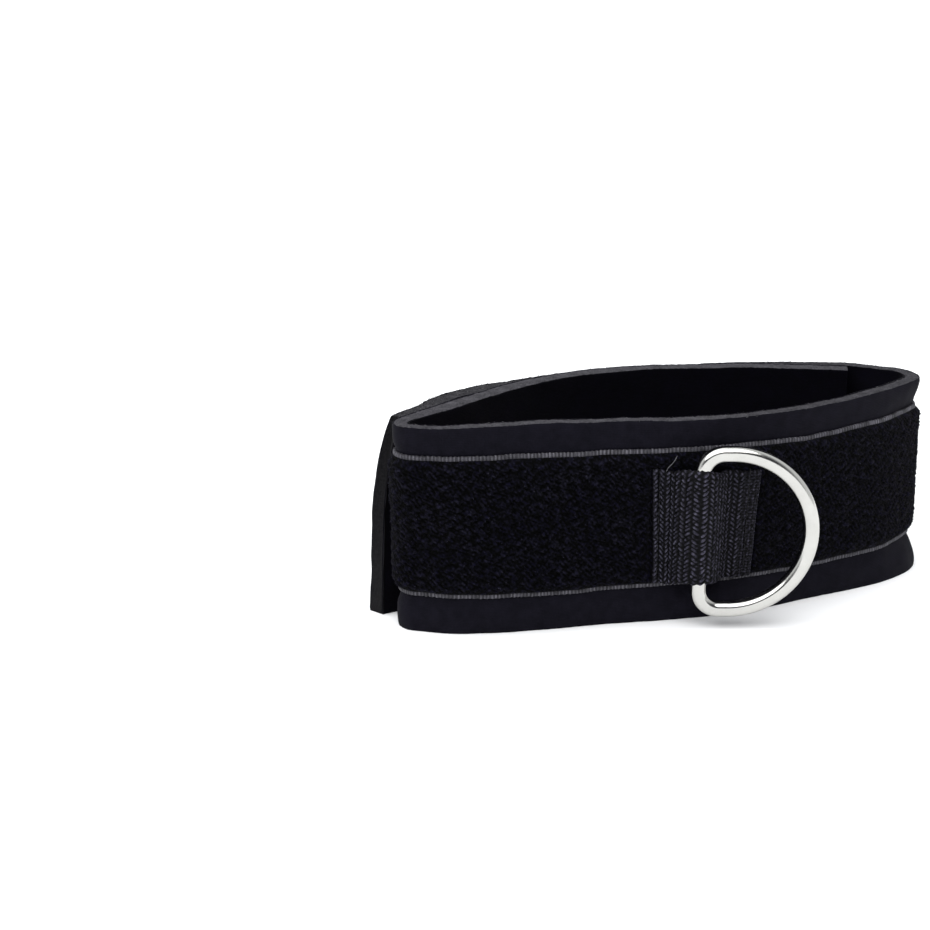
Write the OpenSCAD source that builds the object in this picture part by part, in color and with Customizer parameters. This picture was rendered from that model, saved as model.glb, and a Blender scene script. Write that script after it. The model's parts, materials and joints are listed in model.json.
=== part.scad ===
// Ankle cuff for a cable machine. A foam strip is wrapped into a flattened loop that stands on
// its edge. Its tail overlaps its inner end and grips it with hook-and-loop tape, and a webbing
// keeper on the front wall holds a D-ring. Millimetres, +Z up, origin under the loop's middle.

/* [Strap] */
// Width of the strap, which is the height of the standing loop
strap_w = 55; // [52:1:60]
// Thickness of the foam core
foam_t = 3.5; // [3:0.1:4]
// Thickness of the knit facing on the outside of the foam
facing_t = 0.5; // [0.4:0.1:0.8]
// Thickness of the knit lining on the inside of the foam
lining_t = 0.5; // [0.4:0.1:0.8]
// Length of the tail that peels open, from its hinge line to its free end
tail_len = 131; // [120:1:140]

/* [Loop tape] */
// Width of the loop tape
tape_w = 38; // [36:0.5:40]
// Height of the loop tape's lower edge above the strap's lower edge
tape_low = 9.9; // [8:0.1:11]
// Thickness of the tape's woven base
tape_t = 0.6; // [0.4:0.1:0.8]
// Width of the bare woven selvage along each edge of the tape
selvage_w = 2; // [1.5:0.1:2.5]
// Height of the pile above the woven base
pile_t = 1.3; // [1:0.1:1.5]

/* [Hook patch] */
// Thickness of the hook patch's woven base
hook_base_t = 0.5; // [0.4:0.1:0.7]
// Height of the hooks above their base
hook_t = 0.7; // [0.5:0.1:0.8]
// Distance from the hook patch to the tail's free end
hook_end_gap = 5.5; // [4:0.5:8]
// Distance from the stitch rows to the patch's edges
stitch_inset = 2.7; // [2:0.1:3]
// Distance between the starts of two neighbouring stitches
stitch_pitch = 5.5; // [5:0.5:7]

/* [Label] */
// Length of the woven label along the strap
label_l = 47; // [40:1:50]
// Height of the woven label
label_h = 19; // [15:1:22]
// Distance from the tail's hinge line to the label
label_start = 35; // [30:1:45]

/* [Ring keeper] */
// Width of the webbing, which runs up and down the wall
keeper_w = 30; // [28:0.5:31]
// Thickness of the webbing
keeper_t = 1.3; // [1:0.1:1.5]
// Length of webbing from the ring's bar to the end nearer the loop's fold
keeper_short = 11.6; // [11:0.1:13]
// Length of webbing from the ring's bar to its other end
keeper_long = 17.7; // [16:0.1:19]
// Height of the keeper's middle above the strap's lower edge
keeper_mid = 27.7; // [27:0.1:29]

/* [D-ring] */
// Outside height of the D-ring along its bar
ring_h = 46; // [46:0.5:47]
// Side of the ring's square stock
stock = 4; // [3.8:0.1:4]
// Radius of the rounded edges of the stock
stock_edge_r = 1; // [1:0.1:1.3]
// Depth from the bar's middle line to the centre of the round bow
bow_offset = 7.6; // [7:0.1:10]
// Inside radius of the two corners beside the bar
corner_in_r = 3.5; // [3:0.1:4]
// Height of the ring's middle above the strap's lower edge
ring_mid = 26.2; // [26:0.1:27]
// Angle from the loop's long axis at which the ring hangs
ring_angle = -20; // [-24:1:-16]

/* [Hidden] */

strap_t = facing_t + foam_t + lining_t;
part_gap = 0.3;                       // between the body and the tail
knit_colour = "#1e1d24";
foam_colour = "#4a4a50";
pile_colour = "#0c0c10";
tape_colour = "#2c2b31";
thread_colour = "#141318";

// The plan of the loop: its outer face, as points from the inner end round to the tail's end
loop_centre = [10.8, 30];             // plan point that lies over the origin
inner_end_points = [[75, 41.8], [63, 48.6], [47, 55.6], [30, 60.7], [12, 63.6], [-3, 62.6],
    [-17.5, 58], [-33, 50.2], [-47.5, 41.1], [-57, 35.5]];
front_points = [[-57, 17.4], [-45, 15.2], [-30, 13.4], [-15, 9.6], [0, 5], [12, 2.8], [25, 2.3],
    [38, 3.7], [50, 6.6], [63, 11.2], [75, 16.5]];
near_fold = [-61.2, 26.3];            // centre of the fold under the tail's free end
near_fold_r = 6.2;
far_fold = [78.5, 30.5];              // centre of the other fold
far_fold_r = 11;
tail_tip = [-69.8, 40.6];
path_steps = 3;                       // straight pieces between two neighbouring points

// Face to face, the tail lies on the pile near the far fold, and its hooks on the pile beyond
lap_bare = tape_t + pile_t + part_gap + strap_t;
lap_hooks = lap_bare + hook_base_t + hook_t;
bare_points = 2;                      // inner-end points that the hook patch doesn't reach

function unit(v) = v / norm(v);
function right_of(v) = [v[1], -v[0]];
function arc(c, r, a0, a1, n) = [for (k = [0:n]) let (a = a0 + (a1 - a0) * k / n)
    c + r * [cos(a), sin(a)]];
function lap_at(i) = i < bare_points ? lap_bare : lap_hooks;
function along(p, i) = unit(p[min(i + 1, len(p) - 1)] - p[max(i - 1, 0)]);
tail_points = [for (i = [0:len(inner_end_points) - 1])
    inner_end_points[i] + lap_at(i) * right_of(along(inner_end_points, i))];
controls = concat(inner_end_points, arc(near_fold, near_fold_r, 119, 251, 6), front_points,
    arc(far_fold, far_fold_r, -64, 46, 5), tail_points, [tail_tip]);

// A smooth line through the control points
function slope(p, i) = i == 0 || i == len(p) - 1 ? along(p, i) :
    let (a = p[i] - p[i - 1], b = p[i + 1] - p[i])
    (b / norm(b) * norm(a) + a / norm(a) * norm(b)) / (norm(a) + norm(b));
function hermite(p, q, m, n, t) = p * (2 * t ^ 3 - 3 * t ^ 2 + 1) + m * (t ^ 3 - 2 * t ^ 2 + t)
    + q * (3 * t ^ 2 - 2 * t ^ 3) + n * (t ^ 3 - t ^ 2);
function smooth_line(p, n) = concat([for (i = [0:len(p) - 2], k = [0:n - 1])
    let (h = norm(p[i + 1] - p[i]))
    hermite(p[i], p[i + 1], h * slope(p, i), h * slope(p, i + 1), k / n)], [p[len(p) - 1]]);
face = [for (q = smooth_line(controls, path_steps)) q - loop_centre];
last = len(face) - 1;
station = [for (i = 0, s = 0; i <= last; s = s + norm(face[min(i + 1, last)] - face[i]),
    i = i + 1) s];
strap_l = station[last];

// One step outwards from the face at vertex i, so that all layers share the same corners
function outward(i) = let (a = right_of(unit(face[min(i + 1, last)] - face[min(i, last - 1)])),
    b = right_of(unit(face[max(i, 1)] - face[max(i - 1, 0)]))) (a + b) / (1 + a * b);
face_x = [for (i = [0:last]) [station[i], face[i][0]]];
face_y = [for (i = [0:last]) [station[i], face[i][1]]];
step_x = [for (i = [0:last]) [station[i], outward(i)[0]]];
step_y = [for (i = [0:last]) [station[i], outward(i)[1]]];
// The plan point at distance s along the strap from the inner end, and d out from its face
function spot(s, d) = [lookup(s, face_x) + d * lookup(s, step_x),
    lookup(s, face_y) + d * lookup(s, step_y)];
function stations(s0, s1) = concat([s0],
    [for (s = station) if (s > s0 + 0.01 && s < s1 - 0.01) s], [s1]);
function reversed(v) = [for (i = [len(v) - 1:-1:0]) v[i]];

// Places along the strap
hinge_s = strap_l - tail_len;
tape_end_s = hinge_s - 2.5;
hook_start_s = hinge_s + 2;
hook_end_s = strap_l - hook_end_gap;
bar_x = 7.6 - loop_centre[0];         // where the ring's bar stands along the front wall
front_s = [for (i = [0:last]) if (face[i][1] < 0 && face[i][0] > -60) [face[i][0], station[i]]];
bar_s = lookup(bar_x, front_s);
keeper_s0 = bar_s - keeper_short;
keeper_s1 = bar_s + keeper_long;
keeper_low = keeper_mid - keeper_w / 2;
crushed = tape_t + 0.5;               // height of the pile that the keeper presses flat
tunnel_r = stock / 2 * sqrt(2) - stock_edge_r * (sqrt(2) - 1) + 0.08;
bar_out = crushed + tunnel_r + 0.05;
bar_axis = spot(bar_s, bar_out);
bar_press = 4.8;                      // the bar flattens the pile this far to each side
lift = 2 * tunnel_r + 0.05;           // rise of the webbing over the bar
lift_short = 7;
lift_long = 9.5;
thread_t = 0.25;
thread_w = 0.6;

// A layer of the strap, from s0 to s1 along it, d0 to d1 out from its face and z0 to z1 up
module layer(s0, s1, d0, d1, z0, z1) {
    run = stations(s0, s1);
    translate([0, 0, z0])
        linear_extrude(z1 - z0)
            polygon(concat([for (s = run) spot(s, d1)], [for (s = reversed(run)) spot(s, d0)]));
}

// Stitches in a row along the strap, lying on a surface d out from its face
module stitch_row(s0, s1, d, z) {
    count = floor((s1 - s0) / stitch_pitch);
    for (k = [0:count - 1])
        let (s = s0 + (k + 0.2) * (s1 - s0) / count)
            layer(s, s + 0.6 * stitch_pitch, d, d + thread_t, z - thread_w / 2, z + thread_w / 2);
}

// Stitches in a column up the strap at s
module stitch_column(s, d, z0, z1) {
    count = floor((z1 - z0) / stitch_pitch);
    pitch = (z1 - z0) / count;
    for (k = [0:count - 1])
        layer(s - thread_w / 2, s + thread_w / 2, d, d + thread_t,
            z0 + (k + 0.2) * pitch, z0 + (k + 0.8) * pitch);
}

module body_foam() {
    color(foam_colour) layer(0, hinge_s, -facing_t - foam_t, -facing_t, 0, strap_w);
}

module body_facing() {
    color(knit_colour) layer(0, hinge_s, -facing_t, 0, 0, strap_w);
}

module body_lining() {
    color(knit_colour) layer(0, hinge_s, -strap_t, -facing_t - foam_t, 0, strap_w);
}

module loop_tape() {
    color(tape_colour) layer(0.5, tape_end_s, 0, tape_t, tape_low, tape_low + tape_w);
}

// The pile is pressed flat where the keeper is sewn over it and where the ring's bar lies
module loop_pile() {
    color(pile_colour)
        difference() {
            layer(0.5, tape_end_s - 0.5, tape_t, tape_t + pile_t, tape_low + selvage_w,
                tape_low + tape_w - selvage_w);
            layer(keeper_s0 - part_gap, keeper_s1 + part_gap, crushed, 2 * pile_t + tape_t,
                keeper_low - part_gap, keeper_low + keeper_w + part_gap);
            layer(bar_s - bar_press, bar_s + bar_press, crushed, 2 * pile_t + tape_t, 0, strap_w);
        }
}

module tape_stitching() {
    color(thread_colour) {
        for (z = [tape_low + selvage_w / 2, tape_low + tape_w - selvage_w / 2])
            stitch_row(1, tape_end_s - 1, tape_t, z);
    }
}

// Rise of the webbing above its sewn ends at distance x from the bar
function rise(x) = let (reach = x < 0 ? lift_short : lift_long)
    abs(x) >= reach ? 0 : lift * (1 + cos(180 * x / reach)) / 2;

// A webbing strap sewn down at both ends, arched over the ring's bar between them
module ring_keeper() {
    arch = [for (k = [0:40]) keeper_s0 + (keeper_s1 - keeper_s0) * k / 40];
    hollow = [for (k = [1:29]) bar_s - lift_short + (lift_short + lift_long) * k / 30];
    color(knit_colour)
        translate([0, 0, keeper_low])
            difference() {
                linear_extrude(keeper_w)
                    polygon(concat([for (s = arch) spot(s, crushed + keeper_t + rise(s - bar_s))],
                        [for (s = reversed(stations(keeper_s0, keeper_s1))) spot(s, crushed)]));
                translate([0, 0, -1])
                    linear_extrude(keeper_w + 2)
                        polygon(concat([for (s = hollow) spot(s, crushed + rise(s - bar_s))],
                            [for (s = reversed(hollow)) spot(s, crushed - 0.2)]));
                translate([bar_axis[0], bar_axis[1], -1])
                    cylinder(h = keeper_w + 2, r = tunnel_r, $fn = 64);
                translate([bar_axis[0], bar_axis[1], keeper_w - 2.5])
                    cylinder(h = 3, r1 = tunnel_r, r2 = tunnel_r + 0.5, $fn = 64);
            }
}

module keeper_stitching() {
    color(thread_colour)
        for (s = [keeper_s0 + 2, keeper_s1 - 3])
            stitch_column(s, crushed + keeper_t, keeper_low + 1, keeper_low + keeper_w - 1);
}

// Cross-section of the ring's stock: a square with rounded edges
module stock_section() {
    flat = stock - 2 * stock_edge_r;
    square([stock, flat], center = true);
    square([flat, stock], center = true);
    for (x = [-flat / 2, flat / 2], y = [-flat / 2, flat / 2])
        translate([x, y]) circle(stock_edge_r, $fn = 48);
}

// Half of the ring, above its middle: half the bar, a corner, a straight and a quarter bow
module half_ring() {
    corner_r = corner_in_r + stock / 2;
    half_h = (ring_h - stock) / 2;
    linear_extrude(half_h - corner_r) stock_section();
    translate([corner_r, 0, half_h - corner_r])
        rotate([90, 0, 0])
            rotate([0, 0, 90])
                rotate_extrude(angle = 90, $fn = 96)
                    translate([corner_r, 0]) stock_section();
    translate([corner_r, 0, half_h])
        rotate([0, 90, 0])
            linear_extrude(bow_offset - corner_r) stock_section();
    translate([bow_offset, 0, 0])
        rotate([90, 0, 0])
            rotate_extrude(angle = 90, $fn = 160)
                translate([half_h, 0]) stock_section();
}

module d_ring() {
    color("#d9dadd")
        translate([bar_axis[0], bar_axis[1], ring_mid])
            rotate([0, 0, ring_angle]) {
                half_ring();
                mirror([0, 0, 1]) half_ring();
            }
}

module tail_foam() {
    color(foam_colour)
        layer(hinge_s + part_gap, strap_l, -facing_t - foam_t, -facing_t, 0, strap_w);
}

module tail_facing() {
    color(knit_colour) layer(hinge_s + part_gap, strap_l, -facing_t, 0, 0, strap_w);
}

module tail_lining() {
    color(knit_colour)
        layer(hinge_s + part_gap, strap_l, -strap_t, -facing_t - foam_t, 0, strap_w);
}

module hook_tape() {
    color(tape_colour)
        layer(hook_start_s, hook_end_s, -strap_t - hook_base_t, -strap_t,
            tape_low, tape_low + tape_w);
}

module hook_field() {
    color(pile_colour)
        layer(hook_start_s + 1, hook_end_s - 1, -strap_t - hook_base_t - hook_t,
            -strap_t - hook_base_t, tape_low + selvage_w, tape_low + tape_w - selvage_w);
}

// The rectangle of stitches that holds the hook patch, seen on the tail's outer face
module hook_stitching() {
    low = tape_low + stitch_inset;
    high = tape_low + tape_w - stitch_inset;
    color(thread_colour) {
        for (z = [low, high])
            stitch_row(hook_start_s + 1, hook_end_s - 1, 0, z);
        for (s = [hook_start_s + 1, hook_end_s - 1])
            stitch_column(s, 0, low, high);
    }
}

label_s0 = hinge_s + label_start;
label_z0 = tape_low + (tape_w - label_h) / 2;
label_t = 0.4;
label_seam = 1;                       // from the label's edge to its stitches

module label() {
    color("#17161b")
        layer(label_s0, label_s0 + label_l, 0, label_t, label_z0, label_z0 + label_h);
}

module label_stitching() {
    color("#8d8d92") {
        for (z = [label_z0 + label_seam, label_z0 + label_h - label_seam])
            stitch_row(label_s0 + label_seam, label_s0 + label_l - label_seam, label_t, z);
        for (s = [label_s0 + label_seam, label_s0 + label_l - label_seam])
            stitch_column(s, label_t, label_z0 + label_seam, label_z0 + label_h - label_seam);
    }
}

body_foam();
body_facing();
body_lining();
loop_tape();
loop_pile();
tape_stitching();
ring_keeper();
keeper_stitching();
d_ring();
tail_foam();
tail_facing();
tail_lining();
hook_tape();
hook_field();
hook_stitching();
label();
label_stitching();
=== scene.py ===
import json
import math

import bpy
import numpy as np
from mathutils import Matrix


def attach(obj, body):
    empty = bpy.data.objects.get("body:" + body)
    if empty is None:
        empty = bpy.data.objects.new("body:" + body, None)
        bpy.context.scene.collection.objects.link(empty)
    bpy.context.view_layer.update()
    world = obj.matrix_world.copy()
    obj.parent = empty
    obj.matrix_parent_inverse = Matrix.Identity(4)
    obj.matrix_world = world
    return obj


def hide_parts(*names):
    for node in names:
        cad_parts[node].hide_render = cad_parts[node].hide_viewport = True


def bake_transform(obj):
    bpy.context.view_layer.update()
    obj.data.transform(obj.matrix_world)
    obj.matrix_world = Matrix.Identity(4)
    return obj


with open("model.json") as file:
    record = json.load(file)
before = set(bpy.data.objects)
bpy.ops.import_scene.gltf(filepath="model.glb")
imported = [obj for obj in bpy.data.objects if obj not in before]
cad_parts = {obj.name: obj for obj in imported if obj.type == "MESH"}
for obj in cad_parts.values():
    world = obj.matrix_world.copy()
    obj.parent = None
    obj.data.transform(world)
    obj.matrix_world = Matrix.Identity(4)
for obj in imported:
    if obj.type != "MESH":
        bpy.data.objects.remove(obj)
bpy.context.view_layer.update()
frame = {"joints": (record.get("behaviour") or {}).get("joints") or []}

# ---------------------------------------------------------------- sizes, in millimetres
MM = 0.001
STRAP_W, FACING_T, FOAM_T, LINING_T = 55.0, 0.5, 3.5, 0.5
STRAP_T = FACING_T + FOAM_T + LINING_T
TAIL_LEN = 131.0
TAPE_LOW, TAPE_W, TAPE_T, SELVAGE_W, PILE_T = 9.9, 38.0, 0.6, 2.0, 1.3
HOOK_BASE_T, HOOK_T, HOOK_END_GAP, STITCH_INSET, STITCH_PITCH = 0.5, 0.7, 5.5, 2.7, 5.5
LABEL_L, LABEL_H, LABEL_START, LABEL_T = 47.0, 19.0, 35.0, 0.4
KEEPER_W, KEEPER_T, KEEPER_SHORT, KEEPER_LONG, KEEPER_MID = 30.0, 1.3, 11.6, 17.7, 27.7
RING_H, STOCK, STOCK_EDGE_R, BOW_OFFSET, CORNER_IN_R = 46.0, 4.0, 1.35, 7.6, 3.5
RING_MID, RING_ANGLE = 26.2, math.radians(-20)
PART_GAP = 0.3
CRUSHED = TAPE_T + 0.5

# The loop's plan, as part.scad has it: the strap's outer face from its inner end to the tail's tip
LOOP_CENTRE = np.array([10.8, 30.0])
INNER_END = [(75, 41.8), (63, 48.6), (47, 55.6), (30, 60.7), (12, 63.6), (-3, 62.6),
             (-17.5, 58), (-33, 50.2), (-47.5, 41.1), (-57, 35.5)]
FRONT = [(-57, 17.4), (-45, 15.2), (-30, 13.4), (-15, 9.6), (0, 5), (12, 2.8), (25, 2.3),
         (38, 3.7), (50, 6.6), (63, 11.2), (75, 16.5)]
NEAR_FOLD, NEAR_FOLD_R = (-61.2, 26.3), 6.2
FAR_FOLD, FAR_FOLD_R = (78.5, 30.5), 11
TAIL_TIP = (-69.8, 40.6)
BARE_POINTS = 2

rng = np.random.default_rng(41)


# ---------------------------------------------------------------- the strap's line
def unit(v):
    return v / np.linalg.norm(v)


def right_of(v):
    return np.array([v[1], -v[0]])


def arc(centre, radius, start, end, n):
    turns = np.radians(np.linspace(start, end, n + 1))
    return np.array(centre) + radius * np.stack([np.cos(turns), np.sin(turns)], -1)


def along(points, i):
    return unit(points[min(i + 1, len(points) - 1)] - points[max(i - 1, 0)])


def smooth_line(points, n):
    """A line through the points, with n straight pieces between two neighbours."""
    def slope(i):
        if i in (0, len(points) - 1):
            return along(points, i)
        a, b = points[i] - points[i - 1], points[i + 1] - points[i]
        la, lb = np.linalg.norm(a), np.linalg.norm(b)
        return (b / lb * la + a / la * lb) / (la + lb)
    out = []
    for i in range(len(points) - 1):
        p, q = points[i], points[i + 1]
        h = np.linalg.norm(q - p)
        m, k = h * slope(i), h * slope(i + 1)
        for t in np.arange(n) / n:
            out.append(p * (2 * t**3 - 3 * t**2 + 1) + m * (t**3 - 2 * t**2 + t)
                       + q * (3 * t**2 - 2 * t**3) + k * (t**3 - t**2))
    return np.array(out + [points[-1]])


def strap_line():
    inner = [np.array(p, float) for p in INNER_END]
    bare = TAPE_T + PILE_T + PART_GAP + STRAP_T
    hooks = bare + HOOK_BASE_T + HOOK_T
    tail = [p + (bare if i < BARE_POINTS else hooks) * right_of(along(inner, i))
            for i, p in enumerate(inner)]
    points = (inner + list(arc(NEAR_FOLD, NEAR_FOLD_R, 119, 251, 6))
              + [np.array(p, float) for p in FRONT]
              + list(arc(FAR_FOLD, FAR_FOLD_R, -64, 46, 5)) + tail + [np.array(TAIL_TIP)])
    return smooth_line(points, 16) - LOOP_CENTRE


FACE = strap_line()
STATION = np.concatenate([[0], np.cumsum(np.linalg.norm(np.diff(FACE, axis=0), axis=1))])
TANGENT = np.gradient(FACE, STATION, axis=0)
TANGENT /= np.linalg.norm(TANGENT, axis=1)[:, None]
NORMAL = np.stack([TANGENT[:, 1], -TANGENT[:, 0]], -1)
STRAP_L = STATION[-1]
HINGE_S = STRAP_L - TAIL_LEN
TAPE_END = HINGE_S - 2.5
HOOK_S0, HOOK_S1 = HINGE_S + 2, STRAP_L - HOOK_END_GAP
HOOK_SEAM_S = (HOOK_S0 + 1, HOOK_S1 - 1)
FRONT_WALL = (165, 320)             # the front wall lies between these distances along the strap


def on_line(s, values):
    return np.stack([np.interp(s, STATION, values[:, k]) for k in (0, 1)], -1)


def front_station(x):
    """The distance along the strap where its front wall passes x."""
    some = (STATION > FRONT_WALL[0]) & (STATION < FRONT_WALL[1])
    return float(np.interp(x, FACE[some, 0], STATION[some]))


JOINTS = {j["name"]: j for j in frame["joints"]}
BAR = np.array(JOINTS["ring_swing"]["pos_m"][:2]) / MM
BAR_S = front_station(BAR[0])
KEEPER_S0, KEEPER_S1 = BAR_S - KEEPER_SHORT, BAR_S + KEEPER_LONG
KEEPER_LOW = KEEPER_MID - KEEPER_W / 2
KEEPER_SEAM_S = (KEEPER_S0 + 2, KEEPER_S1 - 3)

# How far the lower edge stands out from the upper one, by distance along the strap
LEAN = [(110, 0), (138, 0.3), (149, -0.2), (158, -1.6), (166, -1.5), (177, 0.1), (192, 2),
        (202, 1.9), (216, -0.2), (230, -2), (240, -2.5), (258, -2.9), (272, -3), (282, -2),
        (292, 0), (302, 1.2), (314, 1), (328, 0.6), (345, 0)]
LEAN_S, LEAN_D = smooth_line([np.array(p, float) for p in LEAN], 8).T
# How far the tail's upper edge sags below the inner layer's
SAG = [(340, 0), (356, 0.3), (376, 0.8), (393, 1.5), (412, 1.7), (450, 1.7), (466, 0.8), (484, 0)]
SAG_S, SAG_D = smooth_line([np.array(p, float) for p in SAG], 8).T


def ease(t):
    t = np.clip(t, 0, 1)
    return t * t * (3 - 2 * t)


FAR_BEND, NEAR_BEND = 330, 156      # the middles of the two folds, along the strap
FAR_WAIST, NEAR_WAIST = 1.5, 0.5    # how far the tape draws each fold in
FLARE, FLARE_S, FLARE_H = 2.2, 317, 11      # the foot flares before the far fold, below this height
LEAN_H = 45                         # the lean is full this far below the upper edge
TIP_RUN, TIP_TURN = 27, np.array([5.4, -3.6])   # the tail's upper corner turns in along its end


def lean_out(s, z):
    """How far the wall stands out at height z from where its upper edge runs."""
    lean = np.interp(s, LEAN_S, LEAN_D, 0, 0) * np.clip((STRAP_W - z) / LEAN_H, 0, 1)**0.7
    far, near = np.exp(-((s - FAR_BEND) / 20)**4), np.exp(-((s - NEAR_BEND) / 14)**4)
    waist = ease((STRAP_W - z) / 7) * ease((z - 1) / 9)
    flare = FLARE * np.exp(-((s - FLARE_S) / 17)**2) * np.clip(1 - z / FLARE_H, 0, 1)
    return lean + flare - (FAR_WAIST * far + NEAR_WAIST * near) * waist


def place(s, d, z):
    """Points of the strap at s along it, d out from its face and z up it, as the soft strip stands."""
    s, d, z = np.broadcast_arrays(np.asarray(s, float), d, z)
    n = on_line(s, NORMAL)
    p = on_line(s, FACE) + (d + lean_out(s, z))[..., None] * n
    tip = np.clip((s - (STRAP_L - TIP_RUN)) / TIP_RUN, 0, 1)**1.8 * (
        0.2 * z / STRAP_W + 0.8 * np.clip(z / STRAP_W, 0, 1)**4)
    p = p + tip[..., None] * TIP_TURN
    sag = np.interp(s, SAG_S, SAG_D, 0, 0) + 0.7 * tip
    return np.concatenate([p, (z * (1 - sag / STRAP_W))[..., None]], -1)


# ---------------------------------------------------------------- noise and meshes
def waves(points, wavelength, seed, count=24):
    """Smooth noise of about that wavelength in millimetres, from -1 to 1 for the most part."""
    r = np.random.default_rng(seed)
    dims = points.shape[-1]
    out = np.zeros(points.shape[:-1])
    for _ in range(count):
        direction = unit(r.normal(size=dims))
        k = 2 * math.pi / (wavelength * (1 + 0.5 * r.uniform(-1, 1)))
        out += np.cos(points @ (direction * k) + r.uniform(0, 2 * math.pi))
    return out * math.sqrt(2 / count)


def mesh_object(name, verts, faces, material, uv=None, tone=None):
    """A mesh in millimetres. tone is how bright each point's colour is, 1 for a raised one; lower in
    hollows, as painted shade.
    """
    mesh = bpy.data.meshes.new(name)
    mesh.from_pydata((np.asarray(verts, float).reshape(-1, 3) * MM).tolist(), [], list(faces))
    if uv is not None:
        layer = mesh.uv_layers.new(name="cloth")
        loops = np.zeros(len(mesh.loops), np.int64)
        mesh.loops.foreach_get("vertex_index", loops)
        layer.data.foreach_set("uv", np.asarray(uv, float).reshape(-1, 2)[loops].ravel())
    count = len(mesh.vertices)
    shade = mesh.attributes.new("tone", "FLOAT", "POINT")
    shade.data.foreach_set("value", np.ones(count) if tone is None
                           else np.asarray(tone, float).ravel()[:count])
    mesh.polygons.foreach_set("use_smooth", [True] * len(mesh.polygons))
    mesh.materials.append(material)
    mesh.update()
    obj = bpy.data.objects.new(name, mesh)
    bpy.context.scene.collection.objects.link(obj)
    return obj


def grid_faces(rows, columns, wrap, base=0):
    i, j = np.meshgrid(np.arange(rows - 1), np.arange(columns if wrap else columns - 1),
                       indexing="ij")
    k = (j + 1) % columns
    quads = np.stack([i * columns + j, i * columns + k, (i + 1) * columns + k,
                      (i + 1) * columns + j], -1) + base
    return quads.reshape(-1, 4).tolist()


def two_sided(rows, columns):
    """Faces of a thin sheet: the top's grid, then the underside's, and the rim between them."""
    top = grid_faces(rows, columns, False)
    under = [f[::-1] for f in grid_faces(rows, columns, False, rows * columns)]
    around = ([(i, 0) for i in range(rows)] + [(rows - 1, j) for j in range(1, columns)]
              + [(i, columns - 1) for i in range(rows - 2, -1, -1)]
              + [(0, j) for j in range(columns - 2, 0, -1)])
    ids = [i * columns + j for i, j in around]
    rim = [[a, b, b + rows * columns, a + rows * columns] for a, b in zip(ids, ids[1:] + ids[:1])]
    return [f[::-1] for f in top + under + rim]


def box_profile(d0, d1, z0, z1, step_z, step_d, r):
    """A closed outline in d and z with rounded corners: up the outer face and down the inner one."""
    nz, nd = max(2, round((z1 - z0) / step_z)), max(1, round((d1 - d0) / step_d))
    q = np.array([(r * (1 - math.cos(a)), r * (1 - math.sin(a)))
                  for a in np.radians([15, 45, 75])])
    up, over = np.linspace(z0 + r, z1 - r, nz + 1), np.linspace(d1 - r, d0 + r, nd + 1)
    return np.concatenate([
        [(d1, z) for z in up], [d1, z1] - q,
        [(d, z1) for d in over], q[::-1] * [1, -1] + [d0, z1],
        [(d0, z) for z in up[::-1]], [d0, z0] + q,
        [(d, z0) for d in over[::-1]], q[::-1] * [-1, 1] + [d1, z0]])


def sweep(name, stations, profile, material, shift=None, tone=None):
    """A closed strip along the strap. shift(s, d, z) gives the changed d and z of each point."""
    s = np.repeat(stations[:, None], len(profile), 1)
    d, z = np.repeat(profile[None, :, 0], len(stations), 0), np.repeat(
        profile[None, :, 1], len(stations), 0)
    shade = tone(s, d, z) if tone else None
    if shift:
        d, z = shift(s, d, z)
    verts = place(slant_cut(s, d), d, z)
    n = len(profile)
    faces = grid_faces(len(stations), n, True)
    faces.append(list(range(n)))
    faces.append(list(range((len(stations) - 1) * n, len(stations) * n))[::-1])
    faces = [f[::-1] for f in faces]
    run = np.concatenate([[0], np.cumsum(np.linalg.norm(np.diff(profile, axis=0), axis=1))])
    uv = np.stack([s, np.repeat(run[None], len(stations), 0)], -1)
    return mesh_object(name, verts, faces, material, uv, shade)


def steps(s0, s1, step):
    return np.linspace(s0, s1, max(2, round((s1 - s0) / step)) + 1)


def tube(points, radius, sides=6):
    """Vertices and faces of a round thread along points, its ends drawn in."""
    points = np.asarray(points, float)
    t = np.gradient(points, axis=0)
    t /= np.linalg.norm(t, axis=1)[:, None]
    up = np.array([0.13, 0.21, 1.0])
    a = np.cross(t, up)
    a /= np.maximum(np.linalg.norm(a, axis=1)[:, None], 1e-6)
    b = np.cross(t, a)
    turns = np.arange(sides) * 2 * math.pi / sides
    r = np.full(len(points), radius, float)
    r[[0, -1]] *= 0.35
    ring = (a[:, None] * np.cos(turns)[None, :, None] + b[:, None] * np.sin(turns)[None, :, None])
    verts = (points[:, None] + ring * r[:, None, None]).reshape(-1, 3)
    faces = grid_faces(len(points), sides, True)
    faces += [list(range(sides))[::-1],
              list(range((len(points) - 1) * sides, len(points) * sides))]
    return verts, faces


def joined(parts):
    """One list of vertices and one of faces from several."""
    verts, faces, base = [], [], 0
    for v, f in parts:
        verts.append(v)
        faces += [[k + base for k in face] for face in f]
        base += len(v)
    return np.concatenate(verts), faces


def strands(name, roots, tips, bend, width, material, tone):
    """Many fine fibres as narrow ribbons, from roots by way of a bent middle to tips."""
    count = len(roots)
    middle = (roots + tips) / 2 + bend
    side = np.cross(tips - roots, rng.normal(size=(count, 3)))
    side /= np.maximum(np.linalg.norm(side, axis=1)[:, None], 1e-6)
    w = side * (width * rng.uniform(0.6, 1.3, count))[:, None] / 2
    verts = np.stack([roots - w, roots + w, middle - w, middle + w, tips - w * 0.3,
                      tips + w * 0.3], 1).reshape(-1, 3)
    base = np.arange(count)[:, None] * 6
    faces = np.concatenate([base + [0, 1, 3, 2], base + [2, 3, 5, 4]]).tolist()
    return mesh_object(name, verts, faces, material, tone=np.repeat(tone, 6))


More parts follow.
